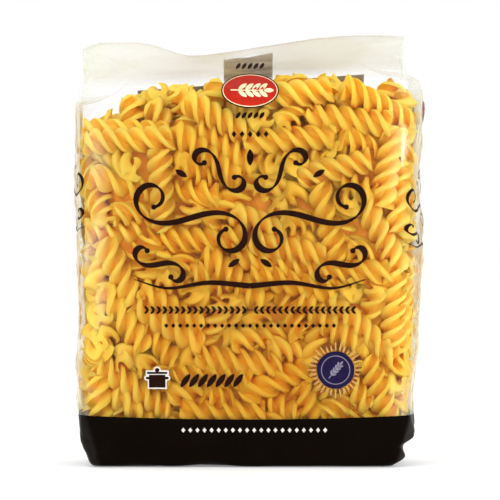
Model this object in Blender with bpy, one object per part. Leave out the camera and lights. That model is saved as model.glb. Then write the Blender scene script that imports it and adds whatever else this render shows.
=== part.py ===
"""A clear, sealed, block-bottomed film packet of short spiral pasta, modelled at its real size.

The packet stands on its flat base and faces -Y. The origin is on the base, in the middle of the outline's
box. Z is up, and all lengths are metres. One closed solid follows the outside of the film: the printed dark
foot, the filled block with its bulging side gussets, and the empty roof, whose gussets are tucked in and whose
end is turned over the ridge and lies on the back. A paper label holds that end down.
"""

import math

import bmesh
import bpy
import numpy as np
from mathutils import Matrix, Vector, noise

# Heights up the packet.
BAND_EDGE = 0.0228  # top edge of the dark foot, at the packet's corners
BAND_SAG = 0.0022  # the edge is this much lower in the middle of the front and the back
BAND_SAG_FADE = 0.010  # the sag fades out this far above and below the edge
SHOULDER_HEIGHT = 0.1650  # where the film leaves the pasta and starts to lean to the ridge
SHOULDER_RISE = 0.0060  # the heap stands this much higher at the right side, and lower at the left
RISE_FROM = 0.1000  # the levels of the wall start to tilt here, to meet the sloping shoulder
RIDGE_HEIGHT = 0.1866  # the folded top edge, at the left end
RIDGE_RISE = 0.0030  # how much higher the right half of the ridge stands
RIDGE_RISE_AT = 0.0500
RIDGE_DIP = 0.0060  # the ridge sags here, left of the middle
RIDGE_DIP_AT = -0.0260
RIDGE_DIP_REACH = (0.0130, 0.0310)  # how far the sag reaches to the left and to the right
RIDGE_CHAMFER = (0.0028, 0.0024)  # the turned-in corner at the ridge's left end: its width and its height

# How far the packet reaches to each side at a few heights: (height, reach).
LEFT_REACH = (
    (0.0, 0.0700), (0.012, 0.0744), (0.023, 0.0760), (0.050, 0.0767),
    (0.060, 0.0749), (0.100, 0.0759), (0.128, 0.0773), (0.159, 0.0762),
)
RIGHT_REACH = (
    (0.0, 0.0650), (0.018, 0.0738), (0.030, 0.0731), (0.052, 0.0759),
    (0.100, 0.0777), (0.121, 0.0762), (0.144, 0.0776), (0.171, 0.0767),
)
HALF_DEPTH = (
    (0.0, 0.0232), (0.023, 0.0268), (0.060, 0.0292),
    (0.115, 0.0292), (0.150, 0.0284), (0.171, 0.0276),
)
CREASE_LEFT = 0.0731  # the front panel ends here; the gussets bulge out beyond it
CREASE_RIGHT = 0.0700
CREASE_ROUND = 0.0050
LEAN_FROM = 0.1250  # above this height the left creases lean out, to the gusset's full reach at the shoulder
BULGE_LEAST = 0.0006  # a gusset always stands out at least this far beyond its creases
PANEL_CROWN = 0.0016  # the contents push the middle of the front and the back out
CROWN_FROM = 0.030  # fully so from this height up
BASE_EDGE = 0.0012  # small round where the walls meet the base
BASE_EDGE_HEIGHT = 0.0015

# Film gathered into shallow puckers along the front of the base: (where, how high, how wide).
PUCKERS = ((-0.0510, 0.0010, 0.0110), (-0.0180, 0.0021, 0.0085))
PUCKER_HEIGHT = 0.0100  # they fade out up to here
PUCKER_FRONT = 0.80  # share of the half depth from which they fade in
BASE_INSET = 0.88  # the base is flat within this share of its outline

# The folded roof.
RIDGE_BACK = 0.0070  # the ridge lies this far behind the middle
RIDGE_LEFT = 0.0731
RIDGE_RIGHT = 0.0690
RIDGE_HALF = 0.0012  # half its thickness: several layers of film pressed together
RIDGE_END_ROUND = 0.0007  # its ends are rounded by this much
ROOF_CORNER = 0.40  # the roof's corners are rounded by at most this share of its half depth
TUCK_CLOSES = 0.62  # share of the roof's height from which the tucked-in gusset is pressed shut
LEDGE = 0.06  # share of the roof's height in which the gussets' bulge ends
FLAP_THICK = 0.0012  # the turned-over end, lying on the back of the roof
FLAP_END = 0.22  # how far up the roof its lower edge lies
FLAP_STEP = 0.02  # share of the roof's height in which that edge steps down
FLAP_OUT = (0.6, 0.8)  # way out of the roof's back slope, along Y and along Z

# The lap seam that runs up the back.
SEAM_HALF = 0.0048
SEAM_EDGE = 0.0004
SEAM_THICK = 0.0006

# Crumpled ears of film at the foot of the right front corner: (height, how far they stand out).
EARS = ((0.0003, 0.0), (0.0040, 0.0050), (0.0092, -0.0022), (0.0133, 0.0032), (0.0200, 0.0))
EAR_REACH = 0.0140  # they fade out this far from the corner

# Low lumps and creases that the pasta presses into the film.
LUMP_HEIGHT = 0.0010
LUMP_SIZE = 0.0135
LUMP_FADE = 0.012  # they fade out towards the dark foot and towards the shoulder
RELIEF_FADE = 8.0  # what lies on a panel fades in from its side edges at this rate
GUSSET_CREASE = 0.0006  # slack film gathers in slanting creases on the gussets
GUSSET_CREASE_STEP = 0.0105
GUSSET_CREASE_SLANT = 0.45
GUSSET_CREASE_WANDER = (2.0, 0.020)  # how far the creases wander, in radians, and over what distance

# The label that holds the turned-over end.
LABEL_HALF = 0.0110
LABEL_TOP = 0.75  # share of the roof's height
LABEL_LOW = 0.1400
LABEL_GAP = 0.0005
LABEL_THICK = 0.0005
LABEL_COLUMNS = 4
LABEL_BRIDGE = 0.12  # share of the roof's height over which it rides up onto the turned-over end

# How finely the surface is divided.
PANEL_COLUMNS = 26
CORNER_COLUMNS = 3
SIDE_COLUMNS = 7  # over half a gusset
FOOT_LEVELS = (0.0, 0.0006, 0.0015, 0.0040, 0.0066, 0.0092, 0.0113, 0.0133, 0.0165)
WALL_ROWS = 22
ROOF_SHARES = (0.02, 0.05, 0.12, 0.20, 0.22, 0.32, 0.45, 0.60, 0.75, 0.90, 1.0)

PASTA_YELLOW = (0.92, 0.56, 0.10)
FOOT_BLACK = (0.012, 0.009, 0.007)
CLEAR_FILM = (0.80, 0.81, 0.77)
LABEL_TAUPE = (0.27, 0.23, 0.18)


def smooth(share):
    """0 to 1 with level ends."""
    share = min(max(share, 0.0), 1.0)
    return share * share * (3.0 - 2.0 * share)


def mix(first, second, share):
    return first + (second - first) * share


def along(stations, at):
    """Value at a height, eased from one (height, value) station to the next."""
    if at <= stations[0][0]:
        return stations[0][1]
    for (low, first), (high, second) in zip(stations, stations[1:]):
        if at <= high:
            return mix(first, second, smooth((at - low) / (high - low)))
    return stations[-1][1]


def bell(offset, reach):
    return math.exp(-((offset / reach) ** 2))


def shoulder_height(x):
    return SHOULDER_HEIGHT + SHOULDER_RISE * x / CREASE_LEFT


def ridge_height(x):
    """The top edge rises to the right, sags left of the middle, and is turned in at its left end."""
    rise = RIDGE_RISE * smooth(x / RIDGE_RISE_AT)
    offset = x - RIDGE_DIP_AT
    dip = RIDGE_DIP * bell(offset, RIDGE_DIP_REACH[0] if offset < 0 else RIDGE_DIP_REACH[1])
    width, height = RIDGE_CHAMFER
    corner = height * max(0.0, 1.0 - (x + RIDGE_LEFT) / width)
    return RIDGE_HEIGHT + rise - dip - corner


def creases(level):
    """How far out the front panel's left and right edges are."""
    left, right = along(LEFT_REACH, level), along(RIGHT_REACH, level)
    lean = smooth((level - LEAN_FROM) / (SHOULDER_HEIGHT - LEAN_FROM))
    crease_left = mix(min(CREASE_LEFT, left - BULGE_LEAST), left - BULGE_LEAST, lean)
    return crease_left, min(CREASE_RIGHT, right - BULGE_LEAST)


def half_section(left, right, depth, corner):
    """Half a rounded rectangle's points, from the right side's middle over the panel to the left side's."""
    side = [(0.0, y) for y in np.linspace(0.0, depth - corner, SIDE_COLUMNS + 1)[:-1]]
    for turn in np.linspace(0.0, math.pi / 2.0, CORNER_COLUMNS + 1)[:-1]:
        side.append((corner * (1.0 - math.cos(turn)), depth - corner * (1.0 - math.sin(turn))))
    right_half = [(right - inwards, y) for inwards, y in side]
    left_half = [(inwards - left, y) for inwards, y in reversed(side)]
    panel = [(x, depth) for x in np.linspace(right - corner, corner - left, PANEL_COLUMNS + 1)]
    return right_half + panel + left_half


def seam_edge_shift(x):
    """Moves the two columns nearest to each edge of the seam, one just inside it and one just outside."""
    step = (CREASE_LEFT + CREASE_RIGHT - 2.0 * CREASE_ROUND) / PANEL_COLUMNS
    middle = 0.5 * (CREASE_RIGHT - CREASE_LEFT)
    place = round((x - middle) / step)
    edges = {1: SEAM_HALF, 2: SEAM_HALF + SEAM_EDGE}
    return math.copysign(edges[abs(place)], place) if abs(place) in edges else x


def seam_lift(x):
    """The lap seam's thickness, where there is one."""
    return SEAM_THICK if abs(x) <= SEAM_HALF + 0.5 * SEAM_EDGE else 0.0


def lump(x, y, z, way):
    """How far the pasta behind the film pushes it out."""
    seat = Vector((x, way * y, z)) / LUMP_SIZE
    return LUMP_HEIGHT * noise.noise(seat)


def gusset_crease(y, z, side):
    """Slanting creases in the slack film of a side panel."""
    turn, reach = GUSSET_CREASE_WANDER
    wander = turn * noise.noise(Vector((y, 0.0, z)) / reach + Vector((0.0, side, 0.0)))
    run = z + GUSSET_CREASE_SLANT * y * side
    return GUSSET_CREASE * math.sin(2.0 * math.pi * run / GUSSET_CREASE_STEP + wander)


def wall_row(level, way):
    """One level section's half: front for way -1, back for way 1."""
    pull = BASE_EDGE * (1.0 - smooth(level / BASE_EDGE_HEIGHT))
    depth = along(HALF_DEPTH, level) - pull
    left, right = along(LEFT_REACH, level) - pull, along(RIGHT_REACH, level) - pull
    crease_left, crease_right = [crease - pull for crease in creases(level)]
    fade = smooth((level - BAND_EDGE) / LUMP_FADE) * smooth((SHOULDER_HEIGHT - level) / LUMP_FADE)
    sag = BAND_SAG * max(0.0, 1.0 - abs(level - BAND_EDGE) / BAND_SAG_FADE)
    tilt = SHOULDER_RISE / CREASE_LEFT * smooth((level - RISE_FROM) / (SHOULDER_HEIGHT - RISE_FROM))
    row = []
    for x, y in half_section(crease_left, crease_right, depth, CREASE_ROUND):
        on_panel = y > depth - 0.5 * CREASE_ROUND
        beside = 1.0 - (y / depth) ** 2  # 1 at the middle of a side panel, 0 on the front and the back
        side = 1.0 if x > 0 else -1.0
        reach, crease = (right, crease_right) if x > 0 else (left, crease_left)
        facing = max(0.0, 1.0 - (x / crease) ** 2)  # 1 at the middle of the front, 0 on the side panels
        inside = smooth(facing * RELIEF_FADE)
        if way > 0 and on_panel:
            x = seam_edge_shift(x)
        height = level - sag * facing + tilt * x
        out = (reach - crease) * beside + fade * beside * gusset_crease(way * y, level, side)
        forward = PANEL_CROWN * smooth(level / CROWN_FROM) * facing + fade * lump(x, y, level, way) * inside
        if way < 0:
            out += along(EARS, level) * bell(depth - y, EAR_REACH) * (1.0 - inside) * (side > 0)
            puckers = sum(high * bell(x - at, wide) for at, high, wide in PUCKERS)
            near_front = smooth((y / depth - PUCKER_FRONT) / (1.0 - PUCKER_FRONT))
            height += puckers * max(0.0, 1.0 - level / PUCKER_HEIGHT) * near_front
        elif on_panel:
            forward += seam_lift(x)
        row.append(Vector((x + side * out, way * (y + forward), height)))
    return row


def roof_row(share_up, way):
    """The roof's half at a share of its height. The side panels keep their width, so they tuck in between."""
    start = along(HALF_DEPTH, SHOULDER_HEIGHT)
    depth = mix(start, RIDGE_HALF, share_up)
    corner = min(CREASE_ROUND, ROOF_CORNER * depth)
    crease_left, crease_right = creases(SHOULDER_HEIGHT)
    left, right = mix(crease_left, RIDGE_LEFT, share_up), mix(crease_right, RIDGE_RIGHT, share_up)
    bulge_ends = smooth(1.0 - share_up / LEDGE)
    pressed = smooth((share_up - TUCK_CLOSES) / (1.0 - TUCK_CLOSES))
    tuck = math.sqrt(max(start**2 - depth**2, 0.0)) * (1.0 - pressed)
    flap = smooth((share_up - FLAP_END + FLAP_STEP) / FLAP_STEP) if way > 0 else 0.0
    row = []
    for x, y in half_section(left, right, depth, corner):
        side = 1.0 if x > 0 else -1.0
        facing = max(0.0, 1.0 - (x / (right if x > 0 else left)) ** 2)
        reach, crease = (RIGHT_REACH, crease_right) if x > 0 else (LEFT_REACH, crease_left)
        bulge = bulge_ends * (along(reach, SHOULDER_HEIGHT) - crease) + pressed * RIDGE_END_ROUND
        out = bulge * (1.0 - (y / depth) ** 2) - tuck * max(0.0, 1.0 - y / (depth - corner))
        push = FLAP_THICK * flap * smooth(facing * RELIEF_FADE)
        if way > 0 and y > depth - 0.5 * corner:
            x = seam_edge_shift(x)
            push += seam_lift(x) * (1.0 - flap)
        lie = RIDGE_BACK * share_up + way * (y + PANEL_CROWN * facing * (1.0 - share_up) + FLAP_OUT[0] * push)
        height = mix(shoulder_height(x), ridge_height(x), share_up) + FLAP_OUT[1] * push
        row.append(Vector((x + side * out, lie, height)))
    return row


def wall_levels():
    step = (SHOULDER_HEIGHT - BAND_EDGE) / WALL_ROWS
    return list(FOOT_LEVELS) + [BAND_EDGE + i * step for i in range(WALL_ROWS + 1)]


def material(name, colour, roughness):
    made = bpy.data.materials.new(name)
    made.use_nodes = True
    shader = made.node_tree.nodes["Principled BSDF"]
    shader.inputs["Base Color"].default_value = (*colour, 1.0)
    shader.inputs["Roughness"].default_value = roughness
    shader.inputs["Metallic"].default_value = 0.0
    made.diffuse_color = (*colour, 1.0)
    return made


def finish_object(name, builder, materials):
    """Turns a bmesh into a smooth-shaded object in the scene."""
    bmesh.ops.recalc_face_normals(builder, faces=builder.faces)
    mesh = bpy.data.meshes.new(name)
    builder.to_mesh(mesh)
    builder.free()
    for one in materials:
        mesh.materials.append(one)
    mesh.shade_smooth()
    mesh.set_sharp_from_angle(angle=math.radians(40.0))
    made = bpy.data.objects.new(name, mesh)
    bpy.context.scene.collection.objects.link(made)
    return made


def ring_of(front_row, back_row):
    """Joins a front and a back half, which share their first and last points, into one closed ring."""
    last = len(front_row) - 1
    ring = list(front_row)
    for i in (0, last):
        ring[i] = 0.5 * (front_row[i] + back_row[i])
    return ring + back_row[last - 1:0:-1]


def build_bag():
    """The film's outside as one closed solid, ring on ring, closed by the flat base and along the ridge."""
    levels = wall_levels()
    rings = [ring_of(wall_row(level, -1), wall_row(level, 1)) for level in levels]
    rings += [ring_of(roof_row(share, -1), roof_row(share, 1)) for share in ROOF_SHARES]
    base = [Vector((p.x * BASE_INSET, p.y * BASE_INSET, 0.0)) for p in rings[0]]
    builder = bmesh.new()
    made = [[builder.verts.new(point) for point in ring] for ring in [base] + rings]
    count = len(base)
    foot_rows = len(FOOT_LEVELS) + 1
    wall_rows = len(levels)
    for row, (low, high) in enumerate(zip(made, made[1:])):
        look = 1 if row < foot_rows else (0 if row < wall_rows else 2)
        for i in range(count):
            face = builder.faces.new((low[i], high[i], high[(i + 1) % count], low[(i + 1) % count]))
            face.material_index = look
    builder.faces.new(made[0]).material_index = 1
    close_ridge(builder, made[-1])
    looks = (
        material("pasta_behind_film", PASTA_YELLOW, 0.35),
        material("foot_black", FOOT_BLACK, 0.30),
        material("clear_film", CLEAR_FILM, 0.20),
    )
    return finish_object("bag", builder, looks)


def close_ridge(builder, top):
    """Closes the ridge with a strip of faces between its two edges, and one face at each rounded end."""
    count = len(top)
    last = count // 2
    first_panel = SIDE_COLUMNS
    for i in range(first_panel, last - first_panel):
        face = builder.faces.new((top[i], top[i + 1], top[count - i - 1], top[count - i]))
        face.material_index = 2
    right_end = [top[i] for i in range(first_panel + 1)] + [top[count - i] for i in range(first_panel, 0, -1)]
    left_end = [top[i] for i in range(last - first_panel, last + first_panel + 1)]
    for end in (right_end, left_end):
        builder.faces.new(end).material_index = 2


def back_line(x, rows):
    """The back of the packet at one x, as points from low to high."""
    points = []
    for row in rows:
        panel = sorted(row[SIDE_COLUMNS:-SIDE_COLUMNS], key=lambda p: p.x)
        xs, ys, zs = zip(*panel)
        points.append(Vector((x, np.interp(x, xs, ys), np.interp(x, xs, zs))))
    return points


def label_rows():
    """The back's rows that the label covers, each with how far what it bridges lifts it there."""
    rows = [(wall_row(level, 1), 0.0) for level in wall_levels() if level > LABEL_LOW]
    for share in ROOF_SHARES:
        if share <= LABEL_TOP:
            rows.append((roof_row(share, 1), FLAP_THICK * bell(share - FLAP_END, LABEL_BRIDGE)))
    return rows


def build_label():
    """A strip of paper, bent from the roof's back over the turned-over end's edge and down the back wall."""
    rows = label_rows()
    across = [LABEL_HALF * (2.0 * i / LABEL_COLUMNS - 1.0) for i in range(LABEL_COLUMNS + 1)]
    lines = [back_line(x, [row for row, bridged in rows]) for x in across]
    builder = bmesh.new()
    layers = []
    for lift in (LABEL_GAP, LABEL_GAP + LABEL_THICK):
        grid = []
        for x, line in zip(across, lines):
            column = []
            for i, (point, (row, bridged)) in enumerate(zip(line, rows)):
                run = line[min(i + 1, len(line) - 1)] - line[max(i - 1, 0)]
                outward = Vector((0.0, run.z, -run.y)).normalized()
                under = SEAM_THICK - seam_lift(x) + bridged
                column.append(builder.verts.new(point + outward * (lift + under)))
            grid.append(column)
        layers.append(grid)
    inner, outer = layers
    wide, high = len(inner), len(inner[0])
    for i in range(wide - 1):
        for j in range(high - 1):
            builder.faces.new((inner[i][j], inner[i][j + 1], inner[i + 1][j + 1], inner[i + 1][j]))
            builder.faces.new((outer[i][j], outer[i + 1][j], outer[i + 1][j + 1], outer[i][j + 1]))
    rim = [(i, 0) for i in range(wide)] + [(wide - 1, j) for j in range(1, high)]
    rim += [(i, high - 1) for i in range(wide - 2, -1, -1)] + [(0, j) for j in range(high - 2, 0, -1)]
    for (a, b), (c, d) in zip(rim, rim[1:] + rim[:1]):
        builder.faces.new((inner[a][b], inner[c][d], outer[c][d], outer[a][b]))
    return finish_object("closure_label", builder, (material("label_paper", LABEL_TAUPE, 0.6),))


def centre(pieces):
    """Moves the pieces' meshes so that the middle of their outline's box lies above the origin."""
    points = [vertex.co for piece in pieces for vertex in piece.data.vertices]
    middle = [0.5 * (min(p[axis] for p in points) + max(p[axis] for p in points)) for axis in (0, 1)]
    for piece in pieces:
        piece.data.transform(Matrix.Translation((-middle[0], -middle[1], 0.0)))


def main():
    for thing in list(bpy.data.objects):
        bpy.data.objects.remove(thing)
    centre([build_bag(), build_label()])


main()
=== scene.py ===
import math

import bmesh
import bpy
import numpy as np
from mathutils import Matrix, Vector, noise
from mathutils.bvhtree import BVHTree


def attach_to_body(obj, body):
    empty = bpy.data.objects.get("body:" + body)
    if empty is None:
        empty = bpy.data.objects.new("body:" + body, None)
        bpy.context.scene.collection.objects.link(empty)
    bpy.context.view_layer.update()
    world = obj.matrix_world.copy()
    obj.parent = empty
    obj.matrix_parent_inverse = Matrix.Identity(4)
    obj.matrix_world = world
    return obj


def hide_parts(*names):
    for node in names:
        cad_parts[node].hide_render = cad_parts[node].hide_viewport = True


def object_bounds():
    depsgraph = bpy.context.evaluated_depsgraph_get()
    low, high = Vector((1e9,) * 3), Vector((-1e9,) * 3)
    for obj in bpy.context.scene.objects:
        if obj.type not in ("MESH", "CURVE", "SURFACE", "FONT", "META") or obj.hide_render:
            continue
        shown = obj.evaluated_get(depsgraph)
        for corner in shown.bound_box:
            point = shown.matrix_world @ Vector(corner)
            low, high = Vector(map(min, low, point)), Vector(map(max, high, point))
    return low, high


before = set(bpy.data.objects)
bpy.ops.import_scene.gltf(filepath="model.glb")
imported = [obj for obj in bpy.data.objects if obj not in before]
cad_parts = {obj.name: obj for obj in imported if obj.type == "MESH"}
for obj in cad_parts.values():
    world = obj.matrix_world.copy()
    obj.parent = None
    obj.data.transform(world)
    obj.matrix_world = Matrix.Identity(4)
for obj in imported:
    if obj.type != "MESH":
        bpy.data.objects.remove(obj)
CAD_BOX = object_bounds()
HALF_WIDTH = 0.5 * (CAD_BOX[1].x - CAD_BOX[0].x)

# Pixels of the photograph, 500 wide and 500 high, set against the packet's real size.
PIXEL = 0.000444
MIDDLE_COLUMN = 248.5
BASE_ROW = 463.0
IMAGE_WIDTH = 500

# The camera stands straight in front of the packet, well back.
CAMERA_AWAY = 1.60
CAMERA_LIFT = 0.030  # it looks very slightly down
SENSOR_WIDTH = 36.0

# The room, as the packet is lit by it and mirrors it. The camera sees it plain white.
ROOM_LEVEL = 0.50  # how bright it is at eye level
ROOM_TOP = 0.86  # overhead
ROOM_BEHIND = 0.95  # and on the wall that the packet stands before
ROOM_RISE = (0.15, 0.75)  # it brightens upward between these sines
ROOM_TURN = (0.10, 0.50)  # and backward between these
WHITE = (1.0, 1.0, 1.0, 1.0)
FLOOR_TONES = ((0.90, 0.90, 0.90), (0.93, 0.93, 0.93))
FLOOR_GLOW = 0.24  # keeps the floor as white as the room
FLOOR_REACH = 3.0
FLOOR_DROP = 0.0003  # the floor lies this far below the packet
LIT_POINT = (0.0, 0.0, 0.09)
SOFTBOXES = (  # name, place, size, power
    ("key", (-0.60, -0.95, 0.90), (0.6, 0.6), 4.7),
    ("right", (1.05, -0.75, 0.40), (0.5, 0.9), 8.2),
    ("left", (-1.10, -0.65, 0.25), (0.5, 0.9), 3.4),
    ("fill", (0.15, -1.55, 0.45), (1.2, 1.0), 3.2),
)

# The film's shape.
FILM_LEVELS = 2  # times that each CAD face is divided
FLAT_ANGLE = math.radians(60.0)  # faces that meet at less than this count as one surface
BAND_EDGE = 0.0228  # height of the dark foot's edge at the sides
BAND_SAG = 0.0022  # it lies this much lower in the middle
SHOULDER_HEIGHT = 0.1650  # the slack roof starts here
SHOULDER_SLOPE = 0.041  # and higher towards the right
FOLD_HEIGHT = 0.1720  # above this the film lies in several layers
GUSSET_START = 0.86  # share of the half width where the slack gussets start
GUSSET_FADE = 0.12
ROOF_FADE = 0.012
TAUT_SHARE = 0.15  # what is left of the creases where the film is taut
ROOF_SHARE = 0.15  # and the roof's share of the rest
FOLD_WAVES = (45.0, 70.0, 95.0)  # soft folds for each metre along X, Y and Z
FOLD_HIGH = 0.0007
CREASE_WAVES = (90.0, 120.0, 150.0)  # sharp creases between them
CREASE_START = (3.0, 0.0, 7.0)
CREASE_DEEP = 0.0005
FLOOR_FADE = 0.006  # the film gets smooth below this height
LABEL_HALF = 0.0110
PRINT_LIFT = 0.00010  # each layer of ink lies this far outside the one below
PRINT_STEP = 0.0012  # printed strips follow the film at this pitch
SHEET_STEP = 0.0025  # and printed fields at this one

# The film's looks. All colours are linear red, green and blue.
FILM_INDEX = 1.20
FILM_CLEAR = (0.97, 0.97, 0.94)
FILM_SIDE = (0.98, 0.96, 0.80)
SIDE_BAND = (0.060, 0.072)  # the gussets' looks set in between these distances from the middle
SIDE_HAZE = 0.30  # the most that a dull patch at the gussets hides
LEAST_HAZE = 0.001
ROOF_MIRROR = 0.20  # share of its mirror that the slack film keeps
MILK_COLOURS = ((0.87, 0.92, 0.85), (0.77, 0.83, 0.71))
MILK_SHARES = (0.34, 0.62)  # how much the layers of the folded end hide
MILK_DEPTH = (0.0065, 0.0075)  # the folded end starts between these distances behind the middle
MILK_TURN = (0.20, 0.35)  # and faces backward
FOOT_BLACKS = ((0.0020, 0.0010, 0.0004), (0.0045, 0.0026, 0.0014))
FOOT_SHEEN = (0.034, 0.031, 0.028)  # painted sheen on its crumpled sides
FOOT_SIDE = (0.0640, 0.0662)  # they set in between these distances from the middle, at the floor
FOOT_LEAN = 0.27  # and their edge leans outward by this
FOOT_LEFT = 0.32  # the left one gets this share of the painted sheen only
PAPER_TONES = ((0.3, (0.33, 0.33, 0.31)), (0.5, (0.58, 0.58, 0.55)), (0.7, (0.80, 0.80, 0.77)))

# The spirals: half length, radius of the blades' rim, and axial length of one full turn.
SPIRAL_HALF = 0.0178
SPIRAL_RADIUS = 0.0060
SPIRAL_TURN = 0.0192
HALF_RANGE = (0.86, 1.10)  # shares of these sizes that a spiral may have
RADIUS_RANGE = (0.94, 1.04)
TURN_RANGE = (0.92, 1.10)
SPIRAL_COUNT = 430
SPIRAL_RINGS = 31
SPIRAL_PIECES = 4
BLADES = 3
BLADE = ((0.42, 0.58), (0.64, 0.45), (0.86, 0.40), (0.97, 0.34), (1.0, 0.18))  # its half: radius share, angle
BLADE_SWEEP = 0.55  # angle by which a blade's rim leans back
VALLEY = 0.29  # share of the radius where two blades meet
MOST_BEND = 3.2  # a spiral sags by up to this, times the square of the distance along it
TWIST_WAVE = 0.22  # angle by which the twist runs ahead and lags
SWELL_WAVE = 0.035  # share by which a spiral is thicker and thinner along its length
END_START = 0.86  # share of the half length where its ends start
END_SHRINK = 0.05
END_SLANT = 0.12  # how far its ends are cut askew

# How the spirals are packed: they are rods that push each other and the walls away while they settle.
ROD_RADIUS = 0.0047  # less than the rim's, because the blades of neighbours mesh
ROD_START = 0.55  # share of it at the start
ROD_ROOM = 0.008  # least distance from the packet's box at the start
ROD_WAYS = (1.0, 0.55, 1.0)  # they lie more along the front than across it
WALL_SIDE = 0.0062  # distance kept from the film by a rod's length
WALL_END = 0.0072  # and by its ends
SETTLE_STEPS = 520
FALL_STEP = 0.00022  # how far a rod sinks in the first step
FALL_SLOWS = 0.75  # share of it that is gone by the last
SHAKE_TURN = 0.01
SHAKE_UNTIL = 0.5  # share of the steps until which rods also turn by chance
NEAR_REACH = 0.044  # rods whose middles are nearer than this may touch
NEAR_STEPS = 8  # they are looked up again after this many steps
CALM_TOUCHES = 1.6  # the more touches above this, the less each one moves a rod
GRID_STEP = 0.003
HEAP_SLOPE = 0.060  # the packet was tipped a little to the right as it was filled
HEAP_TOP = ((-0.073, 0.1560), (-0.055, 0.1640), (-0.030, 0.1705), (0.030, 0.1725), (0.073, 0.1735))
HEAP_INSET = 0.98  # the heap is this much narrower than the rods', for the air in the gussets
HEAP_RISE = 0.0010  # the highest blades stand this far above it
FILM_GAP = 0.0005  # the blades keep this far from the film
SHOWN_DEPTH = 0.0215  # spirals whose middle lies deeper are hidden, unless they are on top
CORE_DEPTH = 0.0125  # the plain core lies this far inside the film
CORE_TOP = 0.1530
CORE_CUTS = 14
CORE_ROUND = 0.25  # how far its corners are drawn in towards a ball
CORE_BUMP = 0.002
CORE_BUMPS = 90.0

# The pasta's looks.
PASTA_TONES = ((0.15, (0.865, 0.555, 0.046)), (0.5, (0.870, 0.590, 0.066)), (0.85, (0.880, 0.625, 0.092)))
PASTA_VALLEY_SHADE = (0.88, 0.56, 0.030)  # painted shade: deeper amber towards a spiral's middle
PASTA_HOLLOW_SHADE = (0.91, 0.47, 0.008)  # painted shade between its blades
PASTA_DEEP_SHADE = (0.97, 0.34, 0.001)  # painted shade deep between spirals
PASTA_FLOUR = (1.0, 0.86, 0.45)
PASTA_DEPTHS = (0.0030, 0.0012, 0.0003)  # how far red, green and blue light gets into it
HOLLOW_REACH = 0.006
MIDDLE_SHADE = (0.90, 0.74, 0.42)  # painted shade: the heap is darker and deeper in colour in the middle, more so towards the foot
MIDDLE_BAND = (0.030, 0.058)
MIDDLE_RISE = (0.035, 0.150)
EDGE_GLARE = (0.94, 0.74, 0.19)  # painted light: paler at the gussets, more so towards the top, where the film's glare lies over the pasta
EDGE_BAND = (0.050, 0.068)
EDGE_RISE = (0.040, 0.100)
# Painted shade: the core's deep amber stands for the shaded depth of the heap.
CORE_SHADE_TONES = ((0.35, (0.92, 0.32, 0.006)), (0.7, (0.97, 0.44, 0.016)))

SEED = 63017


def smooth(share):
    share = min(max(share, 0.0), 1.0)
    return share * share * (3.0 - 2.0 * share)


def along(stations, at):
    """Values at the places, straight between (place, value) stations."""
    places, values = zip(*stations)
    return np.interp(at, places, values)


def unit(rows):
    return rows / np.maximum(np.linalg.norm(rows, axis=-1, keepdims=True), 1e-12)


# Materials.


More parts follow.
